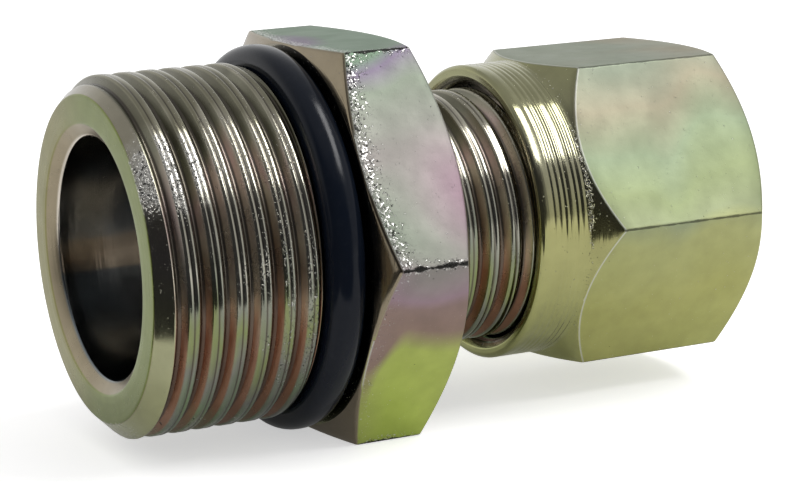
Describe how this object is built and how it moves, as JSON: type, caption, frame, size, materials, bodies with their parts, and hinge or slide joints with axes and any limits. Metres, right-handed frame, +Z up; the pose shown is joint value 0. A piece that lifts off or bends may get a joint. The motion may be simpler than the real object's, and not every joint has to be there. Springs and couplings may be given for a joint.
{
  "type": "brake line fitting",
  "caption": "Straight male stud coupling for a brake line: hexagon body with a sealing ring, cutting ring and union nut.",
  "frame": {"origin": "on the floor, under the middle of the fitting's length and under its axis", "axes": "+X along the fitting's axis, from the stud towards the union nut; +Z up, out of the upper flat of both hexagons"},
  "size_m": [0.0422, 0.0278, 0.024],
  "materials": {
    "yellow_chromate": "zinc-plated steel with a yellow-green iridescent passivation",
    "ring_steel": "hardened and thinly plated steel, satin",
    "black_rubber": "smooth black nitrile rubber"
  },
  "bodies": {
    "fitting": {"fitting_body": "yellow_chromate", "o_ring": "black_rubber"},
    "ring": {"cutting_ring": "ring_steel"},
    "nut": {"union_nut": "yellow_chromate"}
  },
  "joints": [
    {"name": "nut_travel", "type": "slide", "parent": "fitting", "child": "ring", "axis": [1, 0, 0], "range_m": [0, 0.0046]},
    {"name": "nut_turn", "type": "hinge", "parent": "ring", "child": "nut", "pos_m": [0.0145, 0, 0.012], "axis": [1, 0, 0], "range_deg": [0, 1080]}
  ],
  "couplings": [
    {"joint": "nut_travel", "follows": "nut_turn", "m_per_rad": 0.00023873}
  ]
}
